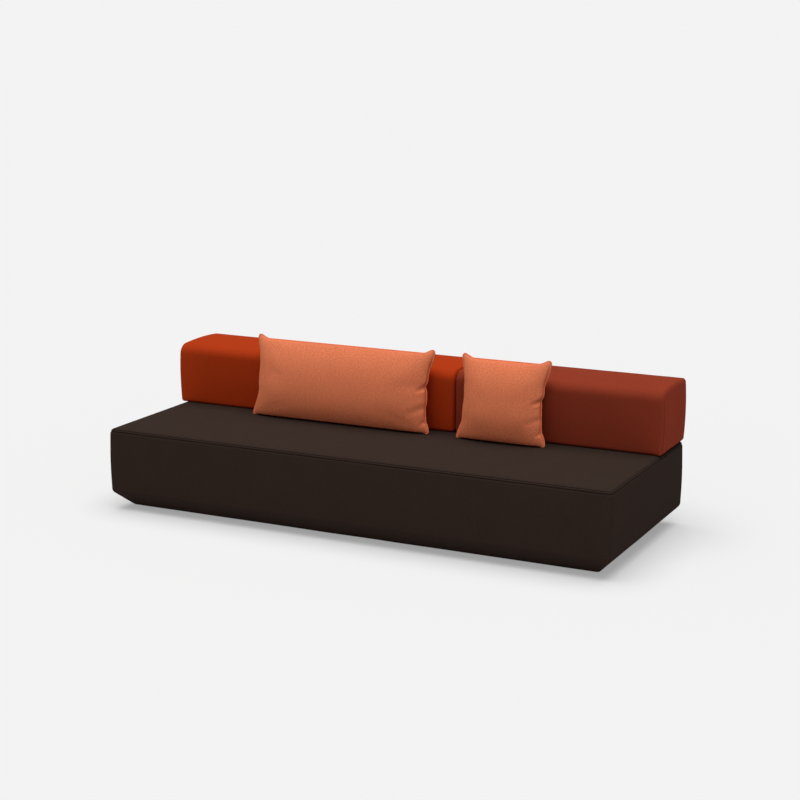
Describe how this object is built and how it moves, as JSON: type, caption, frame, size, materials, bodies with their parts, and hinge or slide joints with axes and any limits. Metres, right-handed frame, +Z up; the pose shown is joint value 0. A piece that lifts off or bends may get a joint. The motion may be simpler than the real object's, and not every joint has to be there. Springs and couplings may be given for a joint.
{
  "type": "sofa bed",
  "caption": "Low upholstered daybed sofa with an undercut brown base, orange and terracotta block backrests that lift off, and loose salmon cushions",
  "frame": {"origin": "on the floor, under the middle of the base", "axes": "X along the length, to the right seen from the front; Y from the front to the back; Z up"},
  "size_m": [2.42, 0.944, 0.7554],
  "materials": {
    "pine": "matte",
    "birch_plywood": "satin",
    "slat_rubber": "matte",
    "foam": "matte",
    "wadding": "matte",
    "brown_fabric": "matte",
    "orange_fabric": "matte",
    "terracotta_fabric": "matte",
    "melange_fabric": "matte",
    "dust_cloth": "matte",
    "hook_tape": "matte",
    "zinc_steel": "satin",
    "zip_tape": "matte",
    "zip_metal": "satin",
    "glide_plastic": "matte"
  },
  "bodies": {
    "base": {"front_rail": "pine", "back_rail": "pine", "left_end_rail": "pine", "right_end_rail": "pine", "front_plinth": "pine", "right_plinth": "pine", "back_plinth": "pine", "left_plinth": "pine", "front_batten": "pine", "back_batten": "pine", "left_batten": "pine", "right_batten": "pine", "cross_rib_1": "birch_plywood", "cross_rib_2": "birch_plywood", "cross_rib_3": "birch_plywood", "corner_blocks": "pine", "front_slat_ledge": "pine", "back_slat_ledge": "pine", "bed_slats": "birch_plywood", "slat_caps": "slat_rubber", "mattress_core": "foam", "mattress_pad": "wadding", "frame_padding": "foam", "tongue_sockets": "zinc_steel", "slot_frames": "glide_plastic", "base_band": "brown_fabric", "seat_top_panel": "brown_fabric", "seat_welt": "brown_fabric", "dust_cover": "dust_cloth", "hem_tapes": "hook_tape", "floor_glides": "glide_plastic"},
    "left_backrest": {"left_back_cover": "orange_fabric", "left_back_base_board": "birch_plywood", "left_back_upright": "birch_plywood", "left_back_gussets": "birch_plywood", "left_back_foam": "foam", "left_back_tongues": "zinc_steel", "left_back_zip": "zip_tape"},
    "left_zip_slider": {"left_zip_slider": "zip_metal"},
    "right_backrest": {"right_back_cover": "terracotta_fabric", "right_back_base_board": "birch_plywood", "right_back_upright": "birch_plywood", "right_back_gussets": "birch_plywood", "right_back_foam": "foam", "right_back_tongues": "zinc_steel", "right_back_zip": "zip_tape"},
    "right_zip_slider": {"right_zip_slider": "zip_metal"},
    "long_cushion": {"long_cushion_cover": "melange_fabric", "long_cushion_filling": "wadding"},
    "square_cushion": {"square_cushion_cover": "melange_fabric", "square_cushion_filling": "wadding"}
  },
  "joints": [
    {"name": "left_backrest_lift", "type": "slide", "parent": "base", "child": "left_backrest", "axis": [0, 0, 1], "range_m": [0, 0.4]},
    {"name": "right_backrest_lift", "type": "slide", "parent": "base", "child": "right_backrest", "axis": [0, 0, 1], "range_m": [0, 0.4]},
    {"name": "long_cushion_lift", "type": "slide", "parent": "base", "child": "long_cushion", "axis": [0, 0, 1], "range_m": [0, 0.4]},
    {"name": "square_cushion_lift", "type": "slide", "parent": "base", "child": "square_cushion", "axis": [0, 0, 1], "range_m": [0, 0.4]},
    {"name": "left_zip_slide", "type": "slide", "parent": "left_backrest", "child": "left_zip_slider", "axis": [1, 0, 0], "range_m": [0, 1.228]},
    {"name": "right_zip_slide", "type": "slide", "parent": "right_backrest", "child": "right_zip_slider", "axis": [1, 0, 0], "range_m": [0, 0.752]}
  ]
}
